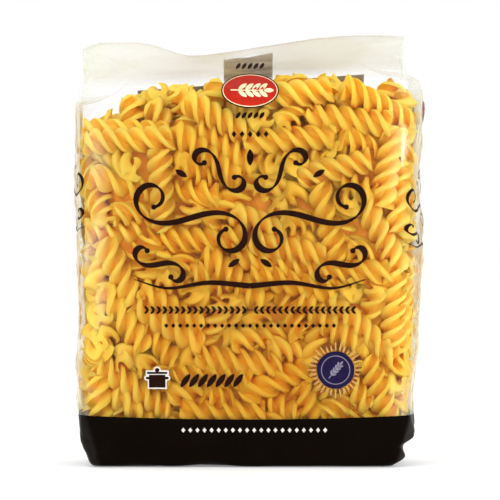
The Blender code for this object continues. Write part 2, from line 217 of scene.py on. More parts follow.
class Nodes:
    """A shorthand for the nodes of a material or a world."""

    def __init__(self, owner, output="ShaderNodeOutputMaterial"):
        self.owner = owner
        owner.use_nodes = True
        self.tree = owner.node_tree
        self.tree.nodes.clear()
        self.output = self.add(output)

    def add(self, kind, **settings):
        """A node. A setting that names one of its sockets feeds that socket."""
        node = self.tree.nodes.new(kind)
        for key, value in settings.items():
            label = key.replace("_", " ")
            if label in node.inputs:
                self.feed(node.inputs[label], value)
            else:
                setattr(node, key, value)
        return node

    def feed(self, socket, value):
        """Links a socket, or sets it to a number, a vector or a colour."""
        if isinstance(value, bpy.types.NodeSocket):
            self.tree.links.new(value, socket)
        elif isinstance(value, tuple) and len(value) < len(socket.default_value):
            socket.default_value = (*value, 1.0)
        else:
            socket.default_value = value

    def place(self):
        return self.add("ShaderNodeTexCoord").outputs["Object"]

    def axis(self, name):
        return self.add("ShaderNodeSeparateXYZ", Vector=self.place()).outputs[name]

    def attribute(self, name):
        return self.add("ShaderNodeAttribute", attribute_name=name, attribute_type="GEOMETRY").outputs["Fac"]

    def noise(self, scale, detail=2.0, roughness=0.5, distortion=0.0, stretch=None):
        place = self.place()
        if stretch:
            place = self.add("ShaderNodeMapping", Vector=place, Scale=stretch).outputs[0]
        settings = dict(Vector=place, Scale=scale, Detail=detail, Roughness=roughness, Distortion=distortion)
        return self.add("ShaderNodeTexNoise", **settings).outputs["Fac"]

    def ramp(self, factor, stops):
        node = self.add("ShaderNodeValToRGB", Fac=factor)
        elements = node.color_ramp.elements
        while len(elements) < len(stops):
            elements.new(0.5)
        for element, (position, colour) in zip(elements, stops):
            element.position = position
            element.color = (*colour, 1.0)
        return node.outputs["Color"]

    def spread(self, value, low, high, new_low=0.0, new_high=1.0):
        """The value, moved from between low and high to between the new ones, and kept there."""
        node = self.add("ShaderNodeMapRange")
        labels = ("Value", "From Min", "From Max", "To Min", "To Max")
        for label, part in zip(labels, (value, low, high, new_low, new_high)):
            self.feed(node.inputs[label], part)
        return node.outputs["Result"]

    def maths(self, operation, *values):
        node = self.add("ShaderNodeMath", operation=operation)
        for socket, value in zip(node.inputs, values):
            self.feed(socket, value)
        return node.outputs[0]

    def product(self, first, *others):
        for other in others:
            first = self.maths("MULTIPLY", first, other)
        return first

    def mix_colour(self, factor, first, second, blend="MIX"):
        node = self.add("ShaderNodeMix", data_type="RGBA", blend_type=blend)
        for place, value in ((0, factor), (6, first), (7, second)):
            self.feed(node.inputs[place], value)
        return node.outputs[2]

    def mix_shaders(self, share, first, second):
        node = self.add("ShaderNodeMixShader")
        for socket, value in zip(node.inputs, (share, first, second)):
            self.feed(socket, value)
        return node.outputs[0]

    def bump(self, height, distance, strength=1.0):
        settings = dict(Height=height, Distance=distance, Strength=strength)
        return self.add("ShaderNodeBump", **settings).outputs["Normal"]

    def principled(self, **settings):
        return self.add("ShaderNodeBsdfPrincipled", **settings).outputs["BSDF"]

    def finish(self, shader):
        self.feed(self.output.inputs["Surface"], shader)
        return self.owner


def pasta_material():
    """Durum pasta: amber and slightly see-through, each spiral lighter or darker, with a fine rough skin.
    Painted shade deepens its hollows and the heap's middle, and painted light pales it at the gussets.
    """
    n = Nodes(bpy.data.materials.new("pasta"))
    patches = n.noise(160.0, 3.0, 0.6)
    tone = n.maths("ADD", n.product(n.attribute("tone"), 0.7), n.product(patches, 0.3))
    colour = n.ramp(tone, PASTA_TONES)
    # Painted shade: deeper amber towards each spiral's middle, between its blades.
    colour = n.mix_colour(n.spread(n.attribute("rim"), VALLEY, 0.80, 0.12, 0.0), colour, PASTA_VALLEY_SHADE)
    aside, height = n.maths("ABSOLUTE", n.axis("X")), n.axis("Z")
    # Painted shade: the middle of the heap is darkened, more so towards the foot.
    shaded_middle = n.product(n.spread(aside, *MIDDLE_BAND, 1.0, 0.0), n.spread(height, *MIDDLE_RISE, 0.95, 0.15))
    # Painted light: the pasta is paled at the gussets, under the film's glare.
    glared_edge = n.product(n.spread(aside, *EDGE_BAND, 0.0, 0.45), n.spread(height, *EDGE_RISE, 0.3, 1.0))
    colour = n.mix_colour(shaded_middle, colour, MIDDLE_SHADE, blend="MULTIPLY")
    colour = n.mix_colour(glared_edge, colour, EDGE_GLARE)
    # Painted shade: where the blades and neighbouring spirals hide the open air, the colour turns deeper
    # amber, deepest in the deepest hollows.
    open_air = n.add("ShaderNodeAmbientOcclusion", samples=6, only_local=True, Distance=HOLLOW_REACH)
    open_air = open_air.outputs["AO"]
    colour = n.mix_colour(n.spread(open_air, 0.25, 0.80, 0.60, 0.0), colour, PASTA_HOLLOW_SHADE)
    colour = n.mix_colour(n.spread(open_air, 0.05, 0.40, 0.85, 0.0), colour, PASTA_DEEP_SHADE)
    flour = n.spread(n.noise(900.0, 4.0, 0.7), 0.55, 0.8, 0.0, 0.10)
    skin = n.maths("ADD", n.noise(1400.0, 4.0, 0.65), n.product(n.noise(420.0, 2.0), 0.8))
    shader = n.principled(
        Base_Color=n.mix_colour(flour, colour, PASTA_FLOUR),
        Roughness=n.spread(n.noise(500.0, 3.0), 0.3, 0.7, 0.42, 0.58),
        Subsurface_Weight=0.38,
        Subsurface_Radius=PASTA_DEPTHS,
        Subsurface_Scale=1.0,
        Specular_IOR_Level=0.12,
        Normal=n.bump(skin, 0.00012, 0.4),
    )
    return n.finish(shader)


def core_material():
    """The unlit depth of the heap, coloured a deeper amber as painted shade."""
    n = Nodes(bpy.data.materials.new("pasta_core"))
    colour = n.ramp(n.noise(120.0, 3.0, 0.6), CORE_SHADE_TONES)
    return n.finish(n.principled(Base_Color=colour, Roughness=0.7, Normal=n.bump(n.noise(200.0, 3.0), 0.002)))


def label_top():
    """Height of the label's top edge at the middle, and how it slopes to the right."""
    points = [vertex.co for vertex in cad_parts["closure_label"].data.vertices]
    left, right = [max(p.z for p in points if side * p.x > 0.7 * LABEL_HALF) for side in (-1.0, 1.0)]
    return 0.5 * (left + right), (right - left) / (2.0 * LABEL_HALF)


def sloping_height(n, slope):
    """Height over a line that rises to the right."""
    return n.maths("SUBTRACT", n.axis("Z"), n.product(n.axis("X"), slope))


def folded_layers(n):
    """Where the folded end lies behind the roof: on its back slope, but not behind the label."""
    top, slope = label_top()
    folded = n.spread(sloping_height(n, SHOULDER_SLOPE), FOLD_HEIGHT - 0.003, FOLD_HEIGHT + 0.003)
    behind = n.spread(n.axis("Y"), *MILK_DEPTH)
    turned_back = n.spread(n.attribute("to_back"), *MILK_TURN)
    beside = n.spread(n.maths("ABSOLUTE", n.axis("X")), LABEL_HALF - 0.0003, LABEL_HALF)
    above = n.spread(sloping_height(n, slope), top - 0.0004, top)
    return n.product(folded, behind, turned_back, n.maths("MAXIMUM", beside, above))


def film_material():
    """Clear glossy film. It mirrors the lights, and where it is folded over at the top it turns milky."""
    n = Nodes(bpy.data.materials.new("clear_film"))
    slack = n.spread(sloping_height(n, SHOULDER_SLOPE), SHOULDER_HEIGHT - 0.008, SHOULDER_HEIGHT - 0.001)
    at_side = n.spread(n.maths("ABSOLUTE", n.axis("X")), *SIDE_BAND)
    folds = n.noise(26.0, 2.0, 0.5, 0.6, stretch=(1.0, 1.0, 3.2))
    milk = n.product(folded_layers(n), n.spread(folds, 0.35, 0.65, *MILK_SHARES))
    clear = n.mix_colour(at_side, FILM_CLEAR, FILM_SIDE)
    cream = n.mix_colour(n.spread(folds, 0.3, 0.7), *MILK_COLOURS)
    creases = n.maths("ADD", n.noise(70.0, 4.0, 0.6, 1.5), n.product(n.noise(260.0, 3.0, 0.6, 0.8), 0.35))
    normal = n.bump(creases, 0.0008, 0.35)
    rough = n.spread(n.noise(30.0, 2.0), 0.35, 0.65, 0.20, 0.50)
    gloss = n.principled(
        Base_Color=n.mix_colour(slack, clear, cream),
        Metallic=n.maths("SUBTRACT", 1.0, slack),
        Roughness=n.maths("MAXIMUM", n.product(at_side, rough), n.product(slack, 0.4)),
        Normal=normal,
    )
    fresnel = n.add("ShaderNodeFresnel", IOR=FILM_INDEX, Normal=normal).outputs[0]
    mirror = n.product(fresnel, n.spread(slack, 0.0, 1.0, 1.0, ROOF_MIRROR))
    patches = n.noise(38.0, 3.0, 0.5, 1.2, stretch=(1.0, 1.0, 0.6))
    haze = n.product(n.spread(patches, 0.45, 0.68, 0.0, SIDE_HAZE), at_side)
    share = n.maths("ADD", n.maths("ADD", mirror, n.maths("ADD", haze, LEAST_HAZE)), milk)
    see_through = n.add("ShaderNodeBsdfTransparent").outputs[0]
    return n.finish(n.mix_shaders(n.maths("MINIMUM", share, 1.0), see_through, gloss))


def foot_material():
    """Black printed film with soft sheen streaks where it is creased, and painted sheen that greys its
    crumpled sides.
    """
    n = Nodes(bpy.data.materials.new("printed_foot"))
    # Painted sheen: grey on the outermost part of each side, broken up by noise, and weaker on the left.
    outward = n.maths("SUBTRACT", n.maths("ABSOLUTE", n.axis("X")), n.product(n.axis("Z"), FOOT_LEAN))
    creases = n.spread(n.noise(110.0, 4.0, 0.6, 0.8), 0.30, 0.62, 0.35, 1.0)
    left_to_right = n.spread(n.axis("X"), -0.02, 0.02, FOOT_LEFT, 1.0)
    side_sheen = n.product(n.spread(outward, *FOOT_SIDE), creases, left_to_right)
    shader = n.principled(
        Base_Color=n.mix_colour(side_sheen, n.mix_colour(n.noise(60.0, 3.0), *FOOT_BLACKS), FOOT_SHEEN),
        Roughness=n.spread(n.noise(45.0, 3.0, 0.5, 1.0), 0.3, 0.7, 0.22, 0.40),
        Specular_IOR_Level=0.02,
        Normal=n.bump(n.noise(85.0, 3.0, 0.55, 1.2), 0.0012, 0.35),
    )
    return n.finish(shader)


def ink_material(name, colour):
    """Printing ink, slightly uneven."""
    n = Nodes(bpy.data.materials.new(name))
    other = tuple(part * 1.3 + 0.002 for part in colour)
    mixed = n.mix_colour(n.spread(n.noise(300.0, 4.0, 0.6), 0.35, 0.7), colour, other)
    normal = n.bump(n.noise(500.0), 0.0001, 0.3)
    return n.finish(n.principled(Base_Color=mixed, Roughness=0.38, Specular_IOR_Level=0.04, Normal=normal))


def paper_material():
    """Taupe paper with light and dark streaks across it."""
    n = Nodes(bpy.data.materials.new("label_paper"))
    colour = n.ramp(n.noise(110.0, 3.0, 0.6, 0.5, stretch=(0.2, 1.0, 3.0)), PAPER_TONES)
    fibre = n.bump(n.noise(700.0, 5.0, 0.7, 0.4), 0.0002, 0.5)
    return n.finish(n.principled(Base_Color=colour, Roughness=0.62, Normal=fibre))


def floor_material():
    n = Nodes(bpy.data.materials.new("floor_white"))
    colour = n.mix_colour(n.noise(3.0), *FLOOR_TONES)
    glow = dict(Emission_Color=WHITE, Emission_Strength=FLOOR_GLOW)
    return n.finish(n.principled(Base_Color=colour, Roughness=0.6, Specular_IOR_Level=0.1, **glow))


# Meshes.


def new_object(name, data):
    made = bpy.data.objects.new(name, data)
    bpy.context.scene.collection.objects.link(made)
    return made


def mesh_object(name, vertices, faces, material, attributes=None):
    """A smooth object. Its attributes hold a value for each vertex under a name."""
    mesh = bpy.data.meshes.new(name)
    mesh.from_pydata([tuple(v) for v in vertices], [], faces)
    for key, values in (attributes or {}).items():
        layer = mesh.attributes.new(key, "FLOAT", "POINT")
        layer.data.foreach_set("value", np.asarray(values, dtype=np.float32))
    return shaded_object(name, mesh, material)


def shaded_object(name, mesh, material):
    mesh.materials.append(material)
    mesh.shade_smooth()
    return new_object(name, mesh)


def attach(piece, slot, *nodes):
    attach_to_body(piece, "root")
    if nodes:
        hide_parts(*nodes)


def bag_bmesh():
    """The CAD bag as a welded mesh."""
    builder = bmesh.new()
    builder.from_mesh(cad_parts["bag"].data)
    bmesh.ops.remove_doubles(builder, verts=builder.verts, dist=1e-6)
    return builder


def band_edge(x):
    return BAND_EDGE - BAND_SAG * max(0.0, 1.0 - (x / HALF_WIDTH) ** 2)


def film_surface():
    """The CAD bag, finely divided and creased: points, faces, and how far backward each point faces."""
    builder = bag_bmesh()
    bmesh.ops.join_triangles(
        builder, faces=builder.faces, angle_face_threshold=FLAT_ANGLE, angle_shape_threshold=FLAT_ANGLE,
        cmp_seam=False, cmp_sharp=False, cmp_uvs=False,
    )
    mesh = bpy.data.meshes.new("film_base")
    builder.to_mesh(mesh)
    builder.free()
    base = new_object("film_base", mesh)
    divide = base.modifiers.new("divide", "SUBSURF")
    divide.levels = divide.render_levels = FILM_LEVELS
    fine = bpy.data.meshes.new_from_object(base.evaluated_get(bpy.context.evaluated_depsgraph_get()))
    bpy.data.objects.remove(base)
    count = len(fine.vertices)
    points = np.empty(count * 3)
    normals = np.empty(count * 3)
    fine.vertices.foreach_get("co", points)
    fine.vertices.foreach_get("normal", normals)
    points, normals = points.reshape(-1, 3), normals.reshape(-1, 3)
    shift = np.array([crumple(Vector(p)) for p in points])
    points += normals * shift[:, None]
    points[:, 2] = np.maximum(points[:, 2], 0.0)
    faces = [tuple(face.vertices) for face in fine.polygons]
    return points, faces, normals[:, 1]


def crumple(p):
    """How far the slack film stands in or out: strongly on the gussets and the roof, faintly on the front."""
    at_side = smooth((abs(p.x) / HALF_WIDTH - GUSSET_START) / GUSSET_FADE)
    at_roof = smooth((p.z - SHOULDER_HEIGHT) / ROOF_FADE + 0.5)
    slack = TAUT_SHARE + (1.0 - TAUT_SHARE) * max(at_side, ROOF_SHARE * at_roof)
    fold = noise.noise(Vector([part * waves for part, waves in zip(p, FOLD_WAVES)]))
    place = Vector([part * waves + start for part, waves, start in zip(p, CREASE_WAVES, CREASE_START)])
    crease = max(0.0, 1.0 - 2.0 * abs(noise.noise(place))) ** 3
    return smooth(p.z / FLOOR_FADE) * slack * (FOLD_HIGH * fold - CREASE_DEEP * crease)


def split_film(points, faces):
    """Film above the dark foot's edge, and the foot below it."""
    upper, lower = [], []
    for face in faces:
        middle = points[list(face)].mean(axis=0)
        (lower if middle[2] < band_edge(middle[0]) else upper).append(face)
    return upper, lower


def compact(points, faces, values):
    """Only the points and their values that the faces use, with the faces renumbered."""
    used = sorted({index for face in faces for index in face})
    place = {old: new for new, old in enumerate(used)}
    return points[used], [tuple(place[index] for index in face) for face in faces], values[used]


# The space inside the film.


class Inside:
    """Signed distance to the film, negative inside, read from a grid."""

    def __init__(self):
        builder = bag_bmesh()
        tree = BVHTree.FromBMesh(builder)
        builder.free()
        low, high = np.array(CAD_BOX[0]), np.array(CAD_BOX[1])
        self.low = low - 2.0 * GRID_STEP
        shape = np.ceil((high - low) / GRID_STEP).astype(int) + 5
        values = np.empty(shape)
        for i, j, k in np.ndindex(*shape):
            point = Vector(self.low + GRID_STEP * np.array((i, j, k)))
            near, normal, _, distance = tree.find_nearest(point)
            values[i, j, k] = distance if (point - near).dot(normal) > 0.0 else -distance
        self.values = values
        self.slopes = np.stack(np.gradient(values, GRID_STEP), axis=-1)

    def read(self, points):
        """Distances and outward directions at the points."""
        place = (points - self.low) / GRID_STEP
        place = np.clip(place, 0.0, np.array(self.values.shape) - 1.001)
        cell = place.astype(int)
        part = place - cell
        distance = np.zeros(len(points))
        slope = np.zeros((len(points), 3))
        for corner in np.ndindex(2, 2, 2):
            weight = np.prod(np.where(corner, part, 1.0 - part), axis=1)
            at = tuple((cell + corner).T)
            distance += weight * self.values[at]
            slope += weight[:, None] * self.slopes[at]
        return distance, unit(slope)


# The heap.


def settle(inside, random):
    """Places of the spirals: centres, directions and half lengths."""
    count = SPIRAL_COUNT
    half = SPIRAL_HALF * random.uniform(*HALF_RANGE, count)
    low, high = np.array(CAD_BOX[0]), np.array(CAD_BOX[1])
    high[2] = max(height for _, height in HEAP_TOP)
    centres = random.uniform(low + ROD_ROOM, high - ROD_ROOM, (count, 3))
    ways = unit(random.normal(size=(count, 3)) * np.array(ROD_WAYS))
    rod = half - ROD_RADIUS
    spin = half**2 / 3.0 + ROD_RADIUS**2 / 2.0
    pull = np.array((HEAP_SLOPE, 0.0, -1.0))
    for step in range(SETTLE_STEPS):
        share = step / SETTLE_STEPS
        if step % NEAR_STEPS == 0:
            apart = np.linalg.norm(centres[:, None] - centres[None], axis=2)
            first, second = np.where(np.triu(apart < NEAR_REACH, 1))
        radius = ROD_RADIUS * min(1.0, ROD_START + share)
        moves = pull * FALL_STEP * (1.0 - FALL_SLOWS * share) * np.ones((count, 3))
        turns = random.normal(size=(count, 3)) * SHAKE_TURN * max(0.0, SHAKE_UNTIL - share)
        touches = np.ones(count)
        push_rods(centres, ways, rod, spin, first, second, 2.0 * radius, moves, turns, touches)
        calm = np.minimum(1.0, CALM_TOUCHES / touches)[:, None]
        centres += moves * calm
        ways = unit(ways + turns * calm)
        push_walls(inside, centres, ways, rod, spin)
    return centres, ways, half


def push_rods(centres, ways, rod, spin, first, second, target, moves, turns, touches):
    """Adds the moves and turns that part every two rods that are nearer to each other than the target.

    The nearest points of two rods lie s and t along them, from their middles.
    """
    u, v = ways[first], ways[second]
    w = centres[first] - centres[second]
    b = (u * v).sum(1)
    d = (u * w).sum(1)
    e = (v * w).sum(1)
    s = np.clip((b * e - d) / np.maximum(1.0 - b * b, 1e-6), -rod[first], rod[first])
    t = np.clip(b * s + e, -rod[second], rod[second])
    s = np.clip(b * t - d, -rod[first], rod[first])
    gap = w + s[:, None] * u - t[:, None] * v
    distance = np.linalg.norm(gap, axis=1)
    near = distance < target
    first, second, u, v, s, t = first[near], second[near], u[near], v[near], s[near], t[near]
    normal = gap[near] / np.maximum(distance[near], 1e-9)[:, None]
    side_u = normal - (normal * u).sum(1)[:, None] * u
    side_v = normal - (normal * v).sum(1)[:, None] * v
    weight = 2.0 + s**2 * (side_u**2).sum(1) / spin[first] + t**2 * (side_v**2).sum(1) / spin[second]
    size = (target - distance[near]) / weight
    np.add.at(moves, first, size[:, None] * normal)
    np.add.at(moves, second, -size[:, None] * normal)
    np.add.at(turns, first, (size * s / spin[first])[:, None] * side_u)
    np.add.at(turns, second, -(size * t / spin[second])[:, None] * side_v)
    np.add.at(touches, first, 1.0)
    np.add.at(touches, second, 1.0)


def push_walls(inside, centres, ways, rod, spin):
    """Moves rods that reach too near to the film back inside, in place."""
    for share in (-1.0, -0.5, 0.0, 0.5, 1.0):
        reach = share * rod
        keep = WALL_END if abs(share) == 1.0 else WALL_SIDE
        points = centres + reach[:, None] * ways
        distance, outward = inside.read(points)
        above = points[:, 2] + ROD_RADIUS - along(HEAP_TOP, points[:, 0])
        higher = above > np.maximum(0.0, distance + keep)
        outward[higher] = (0.0, 0.0, 1.0)
        deep = np.where(higher, above, np.maximum(0.0, distance + keep))
        side = outward - (outward * ways).sum(1)[:, None] * ways
        weight = 1.0 + reach**2 * (side**2).sum(1) / spin
        size = deep / weight
        centres -= size[:, None] * outward
        ways -= (size * reach / spin)[:, None] * side
        ways /= np.linalg.norm(ways, axis=1)[:, None]


def spiral_section():
    """The three-bladed cross-section as (radius share, angle) pairs, with thick round-edged blades."""
    edge = [(radius, -half) for radius, half in BLADE]
    edge += [(radius, half) for radius, half in BLADE[::-1]]
    points = []
    for blade in range(BLADES):
        turn = 2.0 * math.pi * blade / BLADES
        points += [(radius, turn + BLADE_SWEEP * radius**2 + half) for radius, half in edge]
        points.append((VALLEY, turn + math.pi / BLADES + BLADE_SWEEP * VALLEY**2))
    return np.array(points)


def spiral_points(section, centre, way, half, random):
    """Ring on ring of points of one spiral, slightly bent, uneven and cut askew."""
    side = np.array(Vector(way).orthogonal().normalized())
    other = np.cross(way, side)
    phase = random.uniform(0.0, 2.0 * math.pi)
    turn_length = SPIRAL_TURN * random.uniform(*TURN_RANGE)
    radius = SPIRAL_RADIUS * random.uniform(*RADIUS_RANGE)
    bend_way = random.uniform(0.0, 2.0 * math.pi)
    bend = random.uniform(0.0, MOST_BEND)
    slant = random.normal(size=2) * END_SLANT
    wave = random.uniform(0.0, 2.0 * math.pi, 3)
    rings = []
    for run in np.linspace(-1.0, 1.0, SPIRAL_RINGS):
        z = run * half
        angle = phase + 2.0 * math.pi * z / turn_length + TWIST_WAVE * math.sin(3.1 * run + wave[0])
        at_end = smooth((abs(run) - END_START) / (1.0 - END_START))
        swell = 1.0 + SWELL_WAVE * math.sin(5.0 * run + wave[1]) - END_SHRINK * at_end
        r = radius * section[:, 0] * swell
        turn = section[:, 1] + angle
        x, y = r * np.cos(turn), r * np.sin(turn)
        sag = bend * (z**2 - half**2 / 3.0)
        z = z + (slant[0] * x + slant[1] * y) * run**3
        x = x + sag * math.cos(bend_way)
        y = y + sag * math.sin(bend_way)
        rings.append(centre + x[:, None] * side + y[:, None] * other + z[:, None] * way)
    return np.concatenate(rings)


def spiral_faces(size):
    """Faces of one spiral: four-sided ones round it, and one at each end."""
    faces = []
    for ring in range(SPIRAL_RINGS - 1):
        for i in range(size):
            a, b = ring * size + i, ring * size + (i + 1) % size
            faces.append((a, b, b + size, a + size))
    faces.append(tuple(range(size - 1, -1, -1)))
    faces.append(tuple((SPIRAL_RINGS - 1) * size + i for i in range(size)))
    return faces


def build_heap(inside):
    """The spirals that can be seen, from front to back, as a few joined meshes."""
    random = np.random.default_rng(SEED)
    centres, ways, half = settle(inside, random)
    centres[:, 0] *= HEAP_INSET
    section = spiral_section()
    template = spiral_faces(len(section))
    material = pasta_material()
    depth, _ = inside.read(centres)
    order = np.argsort(centres[:, 1])
    shown = [i for i in order if depth[i] > -SHOWN_DEPTH or centres[i][2] > CORE_TOP - SPIRAL_HALF]
    for letter, group in zip("abcdefgh", np.array_split(shown, SPIRAL_PIECES)):
        points, faces, tones, rims = [], [], [], []
        for count, i in enumerate(group):
            ring_points = spiral_points(section, centres[i], ways[i], half[i], random)
            distance, outward = inside.read(ring_points)
            ring_points = ring_points - np.maximum(0.0, distance + FILM_GAP)[:, None] * outward
            over = ring_points[:, 2] - along(HEAP_TOP, ring_points[:, 0])
            ring_points[:, 2] -= max(0.0, over.max() - HEAP_RISE)
            base = count * len(ring_points)
            points.append(ring_points)
            faces += [tuple(base + index for index in face) for face in template]
            tones.append(np.full(len(ring_points), random.uniform()))
            rims.append(np.tile(section[:, 0], SPIRAL_RINGS))
        looks = {"tone": np.concatenate(tones), "rim": np.concatenate(rims)}
        piece = mesh_object("spirals_" + letter, np.concatenate(points), faces, material, looks)
        piece.data.set_sharp_from_angle(angle=FLAT_ANGLE)
        attach(piece, "film", "bag")


def build_core():
    """A plain block in the middle of the heap, so that no light comes through it."""
    builder = bmesh.new()
    bmesh.ops.create_cube(builder, size=1.0)
    bmesh.ops.subdivide_edges(builder, edges=builder.edges, cuts=CORE_CUTS, use_grid_fill=True)
    low, high = np.array(CAD_BOX[0]), np.array(CAD_BOX[1])
    high[2] = CORE_TOP + CORE_DEPTH
    middle, reach = 0.5 * (low + high), 0.5 * (high - low) - CORE_DEPTH
    for vertex in builder.verts:
        share = vertex.co * 2.0
        rounded = share.normalized() * max(abs(share.x), abs(share.y), abs(share.z))
        mixed = share.lerp(rounded, CORE_ROUND)
        place = Vector([m + r * s for m, r, s in zip(middle, reach, mixed)])
        vertex.co = place + Vector((1.0, 1.0, 1.0)) * CORE_BUMP * noise.noise(place * CORE_BUMPS)
        if share.z > 0.0:
            vertex.co.z += SHOULDER_SLOPE * place.x
    mesh = bpy.data.meshes.new("pasta_core")
    builder.to_mesh(mesh)
    builder.free()
    attach(shaded_object("pasta_core", mesh, core_material()), "film", "bag")


# The prints. Each mark is a flat shape, carried straight on to the film from one side, just outside it.

FACINGS = {  # the way to the right and the way out, for someone who looks at that side
    "front": (Vector((1.0, 0.0, 0.0)), Vector((0.0, -1.0, 0.0))),
    "back": (Vector((-1.0, 0.0, 0.0)), Vector((0.0, 1.0, 0.0))),
    "left": (Vector((0.0, -1.0, 0.0)), Vector((-1.0, 0.0, 0.0))),
    "right": (Vector((0.0, 1.0, 0.0)), Vector((1.0, 0.0, 0.0))),
}
INKS = {
    "dark": (0.011, 0.0022, 0.0008),
    "red": (0.37, 0.016, 0.007),
    "cream": (0.78, 0.60, 0.38),
    "navy": (0.010, 0.006, 0.034),
    "gold": (0.47, 0.26, 0.09),
    "bronze": (0.12, 0.045, 0.014),
    "pale": (0.62, 0.60, 0.55),
    "mauve": (0.18, 0.16, 0.215),
    "taupe": (0.29, 0.24, 0.18),
}
LAY_FROM = 0.3  # marks are carried on to the film from this far out
PRINT_MIDDLE = 0.0007
THIN_LINE = 0.0003
BADGE_HEIGHT = 0.1646
BADGE_REACH = (0.0126, 0.0077)
BADGE_FIELDS = (("dark", 1.0, 1.0), ("cream", 0.955, 0.925), ("red", 0.925, 0.875))  # ink, shares of it
EAR_PAIRS = 4
EAR_STEM = 0.0004
EAR_GRAIN = (0.125, 0.052)  # half sizes of a grain, as shares of the ear's length
GUSSET_PRINTS = (("left", 0.1490, 0.1200), ("right", 0.1560, 0.1130))  # heights of the badge and the flourish
GUSSET_BADGE = 0.62
GUSSET_FLOURISH = 0.56
FLOURISH_HEIGHT = 0.1085
PEN_THIN = 0.0008
PEN_WIDE = 0.0029
PEN_SLANT = 0.75  # angle along which the pen draws thin
PEN_DOT = 0.0012
SCROLLS = (  # middle, half length, heading there, how far the ends roll up; each has its mirror image
    ((0.0262, 0.0005), 0.054, -0.30, 6.4),
    ((0.0135, 0.0215), 0.024, 1.35, -5.2),
    ((0.0395, -0.0195), 0.021, 2.95, 4.6),
)
DROPS = (  # middle, half length, turn; also mirrored
    ((0.0, 0.0270), 0.0036, 1.571),
    ((0.0300, 0.0200), 0.0030, 0.55),
    ((0.0070, -0.0190), 0.0030, -0.60),
)
SWASH = ((0.0, -0.0290), (0.018, -0.0276), (0.036, -0.0300), (0.0505, -0.0262))
SWASH_WIDTHS = (0.0025, 0.0021, 0.0013, 0.0004)
LAUREL_PLACE = (PRINT_MIDDLE, 0.0690)
LAUREL_HALF = 0.0455
LAUREL_PAIRS = 17
LAUREL_LEAF = (0.0013, 0.0006)
LAUREL_RISE = 0.0008
POT_PLACE = (-0.0398, 0.0391)
POT_OUTLINE = 0.0006
POT_BLOCKS = ((0.0036, -0.0040, 0.0016), (0.0044, 0.0020, 0.0029))  # half width, bottom and top: body and lid
POT_KNOBS = (  # place, half sizes and corners: the lid's knob and two handles
    (0.0, 0.0037, 0.0010, 0.0009, 16),
    (-0.0042, 0.0002, 0.0009, 0.0006, 14),
    (0.0042, 0.0002, 0.0009, 0.0006, 14),
)
ROUNDEL_PLACE = (0.0380, 0.0428)
ROUNDEL_DISCS = (("navy", 0.0082), ("mauve", 0.0064), ("navy", 0.0060))  # the later ones lie on top
ROUNDEL_RAYS = 64
RAY_START = 0.0086
RAY_KINDS = (("gold", 0.0116, (0.0007, 0.0004)), ("bronze", 0.0108, (0.0003, 0.0003)))  # ink, end, widths
RAY_UNEVEN = 0.0010
PANEL_SIDES = (-0.052, 0.050)  # the back panel, seen from behind
PANEL_FOOT = 0.056
PANEL_TOP = (0.1732, 0.1659)  # at its left and its right
RULED_SIDES = (0.0125, 0.0525)  # the ruled blocks on it, as distances from the middle
BARS = (0.0600, 0.1500)
BAR_HIGH = 0.0008
RULES = 14
RULE_FOOT = 0.0650
RULE_PITCH = 0.0060
RULE_WIDE = 0.0007
RULE_SHORT = 0.006  # every fifth rule is shorter by this
BACK_BADGE = (0.0325, 0.1575)
BACK_BADGE_SCALE = 0.55


class Ink:
    """All marks of one ink, gathered into one mesh."""

    def __init__(self, tree):
        self.tree = tree
        self.points = []
        self.faces = []

    def lay(self, flat, faces, facing, layer):
        across, outward = FACINGS[facing]
        base = len(self.points)
        for u, v in flat:
            start = across * u + outward * LAY_FROM + Vector((0.0, 0.0, v))
            spot, normal, _, _ = self.tree.ray_cast(start, -outward)
            side = 1.0 if normal.dot(outward) > 0.0 else -1.0
            self.points.append(spot + normal * side * layer * PRINT_LIFT)
        self.faces += [tuple(base + index for index in face) for face in faces]

    def fill(self, outline, facing="front", layer=1, rings=3):
        """A round or oval shape, as rings round its middle."""
        middle = outline.mean(axis=0)
        count = len(outline)
        flat = [middle]
        for ring in range(1, rings + 1):
            flat += list(middle + (outline - middle) * ring / rings)
        faces = [(0, 1 + i, 1 + (i + 1) % count) for i in range(count)]
        for low in range(1, 1 + (rings - 1) * count, count):
            for i in range(count):
                j = (i + 1) % count
                faces.append((low + i, low + count + i, low + count + j, low + j))
        self.lay(flat, faces, facing, layer)

    def draw(self, line, widths, facing="front", layer=1):
        """A strip along a line, as wide as the widths say at its start and its end, and between."""
        line, widths = evenly(np.asarray(line, dtype=float), widths)
        way = unit(np.gradient(line, axis=0))
        aside = np.stack((-way[:, 1], way[:, 0]), axis=1) * 0.5 * widths[:, None]
        flat = np.stack((line - aside, line, line + aside), axis=1).reshape(-1, 2)
        faces = []
        for i in range(0, len(flat) - 3, 3):
            faces += [(i, i + 3, i + 4, i + 1), (i + 1, i + 4, i + 5, i + 2)]
        self.lay(flat, faces, facing, layer)

    def sheet(self, left, right, low, high, facing="front", layer=1):
        """A field between two uprights. Its top edge may slope: high is its height at either side."""
        wide = max(2, int((right - left) / SHEET_STEP))
        tall = max(2, int((max(high) - low) / SHEET_STEP))
        shares = [(i / wide, j / tall) for i in range(wide + 1) for j in range(tall + 1)]
        flat = []
        for i, j in shares:
            top = high[0] + (high[1] - high[0]) * i
            flat.append((left + (right - left) * i, low + (top - low) * j))
        row = tall + 1
        faces = [(i * row + j, (i + 1) * row + j, (i + 1) * row + j + 1, i * row + j + 1)
                 for i in range(wide) for j in range(tall)]
        self.lay(flat, faces, facing, layer)


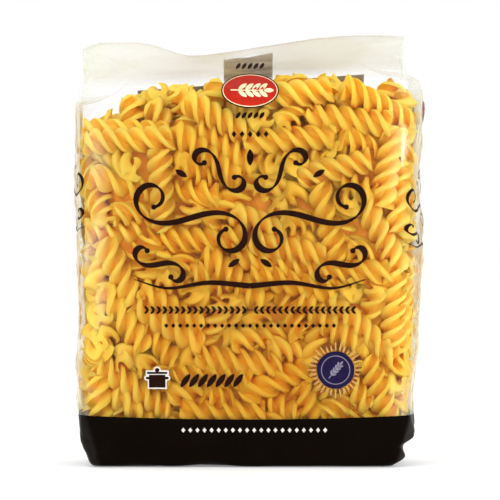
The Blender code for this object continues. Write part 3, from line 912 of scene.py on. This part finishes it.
def evenly(line, widths):
    """The line with points at an even pitch, and its width at each."""
    runs = np.concatenate(((0.0,), np.cumsum(np.linalg.norm(np.diff(line, axis=0), axis=1))))
    widths = np.interp(runs, np.linspace(0.0, runs[-1], len(widths)), widths)
    at = np.linspace(0.0, runs[-1], max(3, int(runs[-1] / PRINT_STEP) + 2))
    line = np.stack([np.interp(at, runs, line[:, axis]) for axis in (0, 1)], axis=1)
    return line, np.interp(at, runs, widths)


def turned(points, turn):
    c, s = math.cos(turn), math.sin(turn)
    return points @ np.array(((c, s), (-s, c)))


def oval(middle, reach, turn=0.0, pointed=0.0, count=32):
    """An oval's outline; the more pointed, the more like a leaf."""
    angles = np.linspace(0.0, 2.0 * math.pi, count, endpoint=False)
    high = np.sin(angles) * np.abs(np.sin(angles)) ** pointed
    return np.asarray(middle) + turned(np.stack((reach[0] * np.cos(angles), reach[1] * high), axis=1), turn)


def diamond(middle, reach):
    corners = np.array(((1.0, 0.0), (0.0, 1.0), (-1.0, 0.0), (0.0, -1.0)))
    return np.asarray(middle) + corners * reach


def scroll(half, turn, roll):
    """A scroll round the origin. Its heading turns with the square of the run, so its ends roll up."""
    runs = np.linspace(-1.0, 1.0, 161)
    heading = turn + roll * runs**2
    steps = np.stack((np.cos(heading), np.sin(heading)), axis=1) * half * (runs[1] - runs[0])
    line = np.cumsum(steps, axis=0)
    return line - line[len(line) // 2]


def pen_widths(line, scale):
    """A broad pen's strokes: thin along its slant, wide across it, and fine at both ends."""
    way = unit(np.gradient(line, axis=0))
    heading = np.arctan2(way[:, 1], way[:, 0])
    shares = np.linspace(0.0, 1.0, len(line))
    ends = np.minimum(1.0, 6.0 * np.minimum(shares, 1.0 - shares) + 0.25)
    return scale * (PEN_THIN + (PEN_WIDE - PEN_THIN) * np.abs(np.sin(heading - PEN_SLANT)) * ends)


def flourish(ink, facing, middle, scale):
    """Pairs of mirrored scrolls over a long swash, with drops between them."""
    middle = np.asarray(middle)
    dot = (PEN_DOT * scale, PEN_DOT * scale)
    for side in (-1.0, 1.0):
        mirror = np.array((side, 1.0)) * scale
        for place, half, turn, roll in SCROLLS:
            line = scroll(half, turn, roll) + np.array(place)
            ink.draw(middle + line * mirror, pen_widths(line, scale), facing)
            for end in (line[0], line[-1]):
                ink.fill(oval(middle + end * mirror, dot, count=12), facing, rings=1)
        for place, half, turn in DROPS:
            ink.fill(middle + oval(place, (half, 0.42 * half), turn, 0.6) * mirror, facing)
        ink.draw(middle + smooth_line(SWASH) * mirror, scale * np.array(SWASH_WIDTHS), facing)


def smooth_line(points, steps=12):
    """A curve through the points."""
    points = [np.array(p) for p in points]
    points = [2.0 * points[0] - points[1]] + points + [2.0 * points[-1] - points[-2]]
    line = []
    for a, b, c, d in zip(points, points[1:], points[2:], points[3:]):
        for t in np.linspace(0.0, 1.0, steps, endpoint=False):
            line.append(0.5 * (2.0 * b + (c - a) * t + (2.0 * a - 5.0 * b + 4.0 * c - d) * t**2
                               + (3.0 * b - a - 3.0 * c + d) * t**3))
    line.append(points[-2])
    return np.array(line)


def ear(ink, facing, foot, length, turn, layer):
    """An ear of wheat: a stem, pairs of grains, and one at the tip."""
    def place(run, aside=0.0):
        return np.asarray(foot) + turned(length * np.array((run, aside)), turn)

    def grain(run, aside, lean):
        reach = (EAR_GRAIN[0] * length, EAR_GRAIN[1] * length)
        ink.fill(oval(place(run, aside), reach, turn + lean, 0.35, 14), facing, layer, 1)

    ink.draw([place(0.0), place(0.80)], (EAR_STEM, EAR_STEM), facing, layer)
    for run in np.linspace(0.30, 0.82, EAR_PAIRS):
        for side in (-1.0, 1.0):
            grain(run, side * 0.085, side * 0.60)
    grain(0.95, 0.0, 0.0)


def badge(inks, facing, middle, scale):
    """A red oval with a dark rim, a pale line and an ear of wheat."""
    for layer, (name, wide, high) in enumerate(BADGE_FIELDS, 1):
        reach = (wide * scale * BADGE_REACH[0], high * scale * BADGE_REACH[1])
        inks[name].fill(oval(middle, reach), facing, layer, 4)
    foot = (middle[0] - 0.0085 * scale, middle[1])
    ear(inks["cream"], facing, foot, 0.0175 * scale, 0.0, 4)


def laurel(ink):
    """A traditional border: pairs of leaves along a line, pointing away from the middle."""
    x, z = LAUREL_PLACE
    ink.draw([(x - LAUREL_HALF, z), (x + LAUREL_HALF, z)], (THIN_LINE, THIN_LINE))
    for side in (-1.0, 1.0):
        for run in np.linspace(0.0026, LAUREL_HALF - 0.0004, LAUREL_PAIRS):
            for up in (-1.0, 1.0):
                place = (x + side * run, z + up * LAUREL_RISE)
                ink.fill(oval(place, LAUREL_LEAF, side * up * 0.75, 0.5, 12), layer=2, rings=1)


def roundel(inks):
    """A navy disc with a mauve ring and an ear of wheat, in a wreath of golden and bronze rays."""
    middle = np.array(ROUNDEL_PLACE)
    for ray in range(ROUNDEL_RAYS):
        turn = 2.0 * math.pi * ray / ROUNDEL_RAYS
        way = np.array((math.cos(turn), math.sin(turn)))
        name, end, widths = RAY_KINDS[ray % 2]
        end += RAY_UNEVEN * math.sin(2.4 * ray)
        inks[name].draw([middle + way * RAY_START, middle + way * end], widths)
    for layer, (name, reach) in enumerate(ROUNDEL_DISCS, 1):
        inks[name].fill(oval(middle, (reach, reach), count=40), layer=layer)
    ear(inks["mauve"], "front", middle - np.array((0.0030, 0.0036)), 0.0090, 0.88, 4)


def pot(inks):
    """A dark cooking pot with a pale outline."""
    x, z = POT_PLACE
    for ink, layer, grow in ((inks["pale"], 1, POT_OUTLINE), (inks["dark"], 2, 0.0)):
        for half, low, high in POT_BLOCKS:
            ink.sheet(x - half - grow, x + half + grow, z + low - grow, (z + high + grow,) * 2, layer=layer)
        for right, up, wide, high, corners in POT_KNOBS:
            knob = oval((x + right, z + up), (wide + grow, high + grow), count=corners)
            ink.fill(knob, layer=layer, rings=1)


def leaf(middle, reach):
    return oval(middle, reach, 0.95, 0.5, 20)


MARK_ROWS = (  # ink, shape, middle, half length, height, number of marks, their half sizes
    ("dark", leaf, PRINT_MIDDLE, 0.0052, BADGE_HEIGHT + 0.0112, 5, (0.0017, 0.0008)),
    ("dark", leaf, PRINT_MIDDLE, 0.0052, BADGE_HEIGHT - 0.0108, 5, (0.0017, 0.0008)),
    ("dark", diamond, PRINT_MIDDLE, 0.0070, 0.1456, 5, (0.0011, 0.0015)),
    ("dark", diamond, PRINT_MIDDLE, 0.0365, 0.0622, 25, (0.0010, 0.0011)),
    ("dark", leaf, -0.0160, 0.0115, 0.0382, 7, (0.0036, 0.0013)),
    ("pale", diamond, 0.0025, 0.0310, 0.0164, 21, (0.0009, 0.0011)),
)


def print_front(inks):
    badge(inks, "front", (PRINT_MIDDLE, BADGE_HEIGHT), 1.0)
    flourish(inks["dark"], "front", (PRINT_MIDDLE, FLOURISH_HEIGHT), 1.0)
    laurel(inks["dark"])
    pot(inks)
    roundel(inks)
    for name, shape, middle, half, height, count, reach in MARK_ROWS:
        for x in np.linspace(middle - half, middle + half, count):
            inks[name].fill(shape((x, height), reach), rings=1)


def print_gussets(inks):
    for facing, badge_height, flourish_height in GUSSET_PRINTS:
        badge(inks, facing, (0.0, badge_height), GUSSET_BADGE)
        flourish(inks["dark"], facing, (0.0, flourish_height), GUSSET_FLOURISH)


def print_back(inks):
    """A plain panel with ruled blocks, where such packets have their small print."""
    pale = inks["pale"]
    inks["taupe"].sheet(*PANEL_SIDES, PANEL_FOOT, PANEL_TOP, "back")
    for side in (-1.0, 1.0):
        left, right = sorted(side * distance for distance in RULED_SIDES)
        for bar in BARS:
            pale.sheet(left, right, bar, (bar + BAR_HIGH, bar + BAR_HIGH), "back", 2)
        for line in range(RULES):
            end = right - (RULE_SHORT if line % 5 == 4 else 0.0)
            height = RULE_FOOT + RULE_PITCH * line
            pale.draw([(left, height), (end, height)], (RULE_WIDE, RULE_WIDE), "back", 2)
    badge(inks, "back", BACK_BADGE, BACK_BADGE_SCALE)


def build_prints(tree):
    inks = {name: Ink(tree) for name in INKS}
    print_front(inks)
    print_gussets(inks)
    print_back(inks)
    for name, ink in inks.items():
        material = ink_material("ink_" + name, INKS[name])
        attach(mesh_object("print_" + name, ink.points, ink.faces, material), "film")


# The stage.


def build_stage():
    mesh = bpy.data.meshes.new("floor")
    corners = [(x * FLOOR_REACH, y * FLOOR_REACH, 0.0) for x, y in ((-1, -1), (1, -1), (1, 1), (-1, 1))]
    mesh.from_pydata(corners, [], [(0, 1, 2, 3)])
    mesh.materials.append(floor_material())
    floor = new_object("floor", mesh)
    floor.location.z = -FLOOR_DROP
    bpy.context.scene.world = studio_world()


def studio_world():
    """A white room, which for the packet is dim at eye level, and bright overhead and behind it."""
    n = Nodes(bpy.data.worlds.new("studio"), "ShaderNodeOutputWorld")
    way = n.add("ShaderNodeSeparateXYZ", Vector=n.add("ShaderNodeTexCoord").outputs["Generated"])
    upward = n.spread(way.outputs["Z"], *ROOM_RISE, ROOM_LEVEL, ROOM_TOP)
    backward = n.spread(way.outputs["Y"], *ROOM_TURN, 0.0, ROOM_BEHIND)
    lit = n.add("ShaderNodeBackground", Color=WHITE, Strength=n.maths("MAXIMUM", upward, backward))
    seen = n.add("ShaderNodeBackground", Color=WHITE)
    camera_ray = n.add("ShaderNodeLightPath").outputs["Is Camera Ray"]
    return n.finish(n.mix_shaders(camera_ray, lit.outputs[0], seen.outputs[0]))


def turn_towards(place, target):
    return (Vector(target) - Vector(place)).to_track_quat("-Z", "Y").to_euler()


def build_lights():
    for name, place, size, power in SOFTBOXES:
        light = bpy.data.lights.new(name, "AREA")
        light.shape = "RECTANGLE"
        light.size, light.size_y = size
        light.energy = power
        softbox = new_object(name, light)
        softbox.location = place
        softbox.rotation_euler = turn_towards(place, LIT_POINT)


def build_camera():
    data = bpy.data.cameras.new("camera")
    camera = new_object("camera", data)
    middle_x = (0.5 * IMAGE_WIDTH - MIDDLE_COLUMN) * PIXEL
    middle_z = (BASE_ROW - 0.5 * IMAGE_WIDTH) * PIXEL
    aim = Vector((middle_x, 0.0, middle_z))
    place = aim + Vector((0.0, -CAMERA_AWAY, CAMERA_LIFT))
    camera.location = place
    camera.rotation_euler = turn_towards(place, aim)
    data.sensor_width = SENSOR_WIDTH
    data.lens = SENSOR_WIDTH * (aim - place).length / (IMAGE_WIDTH * PIXEL)
    bpy.context.scene.camera = camera
    bpy.context.scene.view_settings.view_transform = "Standard"


def build_film():
    """The clear film and the printed foot. It returns the surface that the prints lie on."""
    points, faces, to_back = film_surface()
    names = ("film", "printed_foot")
    materials = (film_material(), foot_material())
    for name, material, part in zip(names, materials, split_film(points, faces)):
        part_points, part_faces, part_to_back = compact(points, part, to_back)
        piece = mesh_object(name, part_points, part_faces, material, {"to_back": part_to_back})
        attach(piece, "film", "bag")
    return BVHTree.FromPolygons([tuple(p) for p in points], faces)


def main():
    build_stage()
    build_lights()
    build_camera()
    inside = Inside()
    build_heap(inside)
    build_core()
    build_prints(build_film())
    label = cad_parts["closure_label"]
    label.data.materials.clear()
    label.data.materials.append(paper_material())


main()
